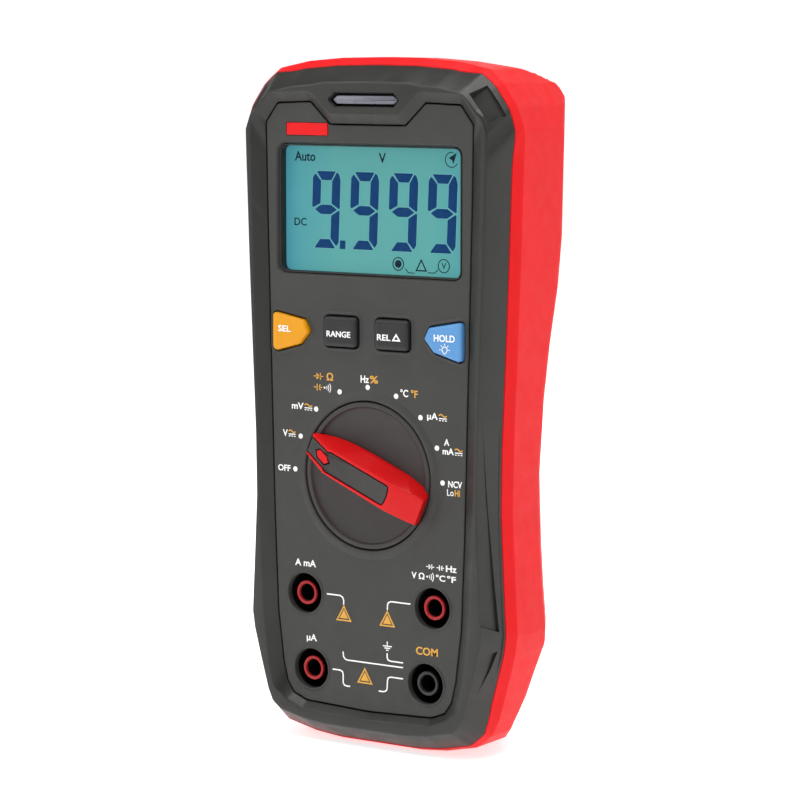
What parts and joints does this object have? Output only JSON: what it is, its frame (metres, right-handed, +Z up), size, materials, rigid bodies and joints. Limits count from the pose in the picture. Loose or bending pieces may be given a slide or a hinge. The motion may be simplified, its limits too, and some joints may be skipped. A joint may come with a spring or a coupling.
{
  "type": "handheld digital multimeter",
  "caption": "Handheld digital multimeter with a backlit display, rotary selector, keys, shrouded 4 mm test-lead sockets, a tilt stand and a battery bay in a two-colour case.",
  "frame": {"origin": "middle of the case at its lowest point", "axes": "+X right and +Z up seen from the front, -Y out of the front"},
  "size_m": [0.0812, 0.0376, 0.1708],
  "materials": {
    "panel_plastic": "fine satin grain",
    "front_rubber": "satin elastomer",
    "red_shell": "satin",
    "red_gloss": "semi gloss",
    "lens_grey": "translucent",
    "window_clear": "clear",
    "lcd": "display cell",
    "light_white": "light guide",
    "dark_plastic": "satin",
    "key_orange": "satin",
    "key_blue": "satin",
    "key_dark": "satin",
    "black_plastic": "satin",
    "sleeve_red": "moulded",
    "sleeve_dark": "moulded",
    "white_plastic": "moulded",
    "brass": "turned",
    "gold_pads": "plated",
    "steel": "plated",
    "board_green": "solder mask",
    "silicone": "silicone",
    "black_rubber": "seal",
    "pink_rubber": "layered silicone",
    "ceramic": "glazed",
    "copper": "bare",
    "component_orange": "dipped coating",
    "component_blue": "dipped coating",
    "cell_wrap": "plain sleeve",
    "lead_red": "insulation"
  },
  "bodies": {
    "case": {"front_panel": "panel_plastic", "front_bezel": "front_rubber", "rear_shell": "red_shell", "light_pipe": "lens_grey", "badge_plate": "red_gloss", "lcd_window": "window_clear", "lcd_glass": "lcd", "lcd_backlight": "light_white", "lcd_holder": "white_plastic", "zebra_strip": "pink_rubber", "detent_ring": "white_plastic", "key_mat": "silicone", "jack_wells": "black_plastic", "jack_sleeves_red": "sleeve_red", "jack_sleeve_dark": "sleeve_dark", "jack_contacts": "brass", "jack_tags": "brass", "main_pcb": "board_green", "switch_pads": "gold_pads", "indicator_led": "white_plastic", "main_chip": "black_plastic", "side_chips": "black_plastic", "crystal": "steel", "radio_module": "steel", "buzzer": "black_plastic", "ptc_disc": "component_orange", "varistors": "component_blue", "shunt_wire": "copper", "fuse_clips": "brass", "fuse_body": "ceramic", "fuse_caps": "steel", "field_sensor": "copper", "pcb_screws": "steel", "case_seal": "black_rubber", "battery_tray": "black_plastic", "battery_cells": "cell_wrap", "battery_contacts": "steel", "battery_springs": "steel", "battery_leads": "lead_red", "battery_cover": "dark_plastic", "cover_screw": "steel", "case_screws": "steel"},
    "dial": {"knob_dial": "dark_plastic", "knob_bar": "red_gloss", "knob_inlay": "dark_plastic", "knob_mark": "red_gloss", "knob_oring": "black_rubber", "knob_rotor": "white_plastic", "knob_wipers": "gold_pads", "knob_clip": "steel", "detent_balls": "steel", "detent_springs": "steel"},
    "stand": {"tilt_stand": "dark_plastic"},
    "key_select_button": {"key_select": "key_orange"},
    "key_range_button": {"key_range": "key_dark"},
    "key_relative_button": {"key_relative": "key_dark"},
    "key_hold_button": {"key_hold": "key_blue"}
  },
  "joints": [
    {"name": "dial_turn", "type": "hinge", "parent": "case", "child": "dial", "pos_m": [0, -0.0132, 0.0685], "axis": [0, 1, 0], "range_deg": [-22.5, 157.5]},
    {"name": "stand_swing", "type": "hinge", "parent": "case", "child": "stand", "pos_m": [0, 0.0165, 0.126], "axis": [1, 0, 0], "range_deg": [0, 58]},
    {"name": "key_select_press", "type": "slide", "parent": "case", "child": "key_select_button", "axis": [0, 1, 0], "range_m": [0, 0.001], "stiffness_N_per_m": 600, "springref_m": -0.0005, "deforming": ["key_mat"]},
    {"name": "key_range_press", "type": "slide", "parent": "case", "child": "key_range_button", "axis": [0, 1, 0], "range_m": [0, 0.001], "stiffness_N_per_m": 600, "springref_m": -0.0005, "deforming": ["key_mat"]},
    {"name": "key_relative_press", "type": "slide", "parent": "case", "child": "key_relative_button", "axis": [0, 1, 0], "range_m": [0, 0.001], "stiffness_N_per_m": 600, "springref_m": -0.0005, "deforming": ["key_mat"]},
    {"name": "key_hold_press", "type": "slide", "parent": "case", "child": "key_hold_button", "axis": [0, 1, 0], "range_m": [0, 0.001], "stiffness_N_per_m": 600, "springref_m": -0.0005, "deforming": ["key_mat"]}
  ]
}
